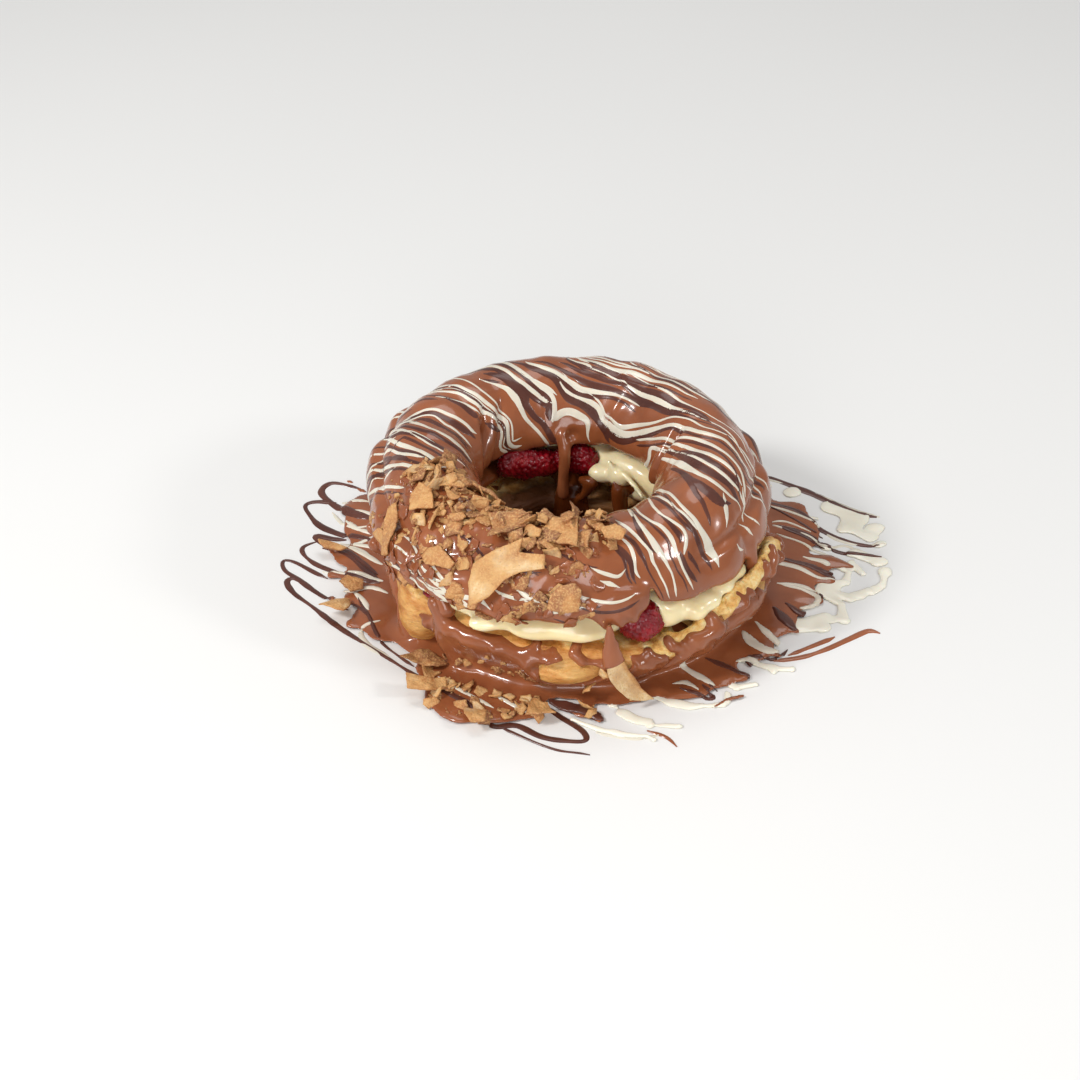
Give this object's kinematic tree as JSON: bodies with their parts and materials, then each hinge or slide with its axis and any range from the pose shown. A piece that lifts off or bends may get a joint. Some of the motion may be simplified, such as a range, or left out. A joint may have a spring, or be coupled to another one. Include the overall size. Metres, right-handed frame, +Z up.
{
  "type": "ring-shaped profiterole",
  "caption": "Split choux ring with custard and strawberries, coated in milk chocolate, with wafer shards on top and a pool of chocolate sauce round its foot.",
  "frame": {"origin": "middle of the ring, on the surface that it rests on", "axes": "+Z up, -Y towards the front, where the wafer shards and the leaning shard are, +X to the right"},
  "size_m": [0.1809, 0.1526, 0.0597],
  "materials": {
    "milk_chocolate": "glossy, soft-set milk chocolate with thin streaks of white and dark chocolate",
    "white_chocolate": "glossy white chocolate, in thin flowing lines",
    "dark_chocolate": "glossy dark chocolate, in thin flowing lines",
    "choux": "baked choux crust, golden, matt, with an open crumb at the cut edge",
    "custard": "pale yellow custard, soft satin",
    "strawberry": "wet cut strawberry",
    "wafer": "toasted thin wafer, dry and flaky"
  },
  "bodies": {
    "root": {"choux_base": "choux", "choux_lid": "milk_chocolate", "custard": "custard", "sauce_in_hole": "milk_chocolate", "sauce_pool": "milk_chocolate", "strawberry_back": "strawberry", "strawberry_back_left": "strawberry", "strawberry_front": "strawberry", "strawberry_hole_left": "strawberry", "strawberry_hole_right": "strawberry", "strawberry_left": "strawberry", "strawberry_right": "strawberry", "wafer_curl": "wafer", "wafer_lid_1": "wafer", "wafer_lid_10": "wafer", "wafer_lid_2": "wafer", "wafer_lid_3": "wafer", "wafer_lid_4": "wafer", "wafer_lid_5": "wafer", "wafer_lid_6": "wafer", "wafer_lid_7": "wafer", "wafer_lid_8": "wafer", "wafer_lid_9": "wafer", "wafer_sauce_1": "wafer", "wafer_sauce_2": "wafer", "wafer_sauce_3": "wafer", "wafer_sauce_4": "wafer", "wafer_sauce_5": "wafer", "wafer_sauce_6": "wafer", "wafer_sauce_7": "wafer"}
  },
  "joints": []
}
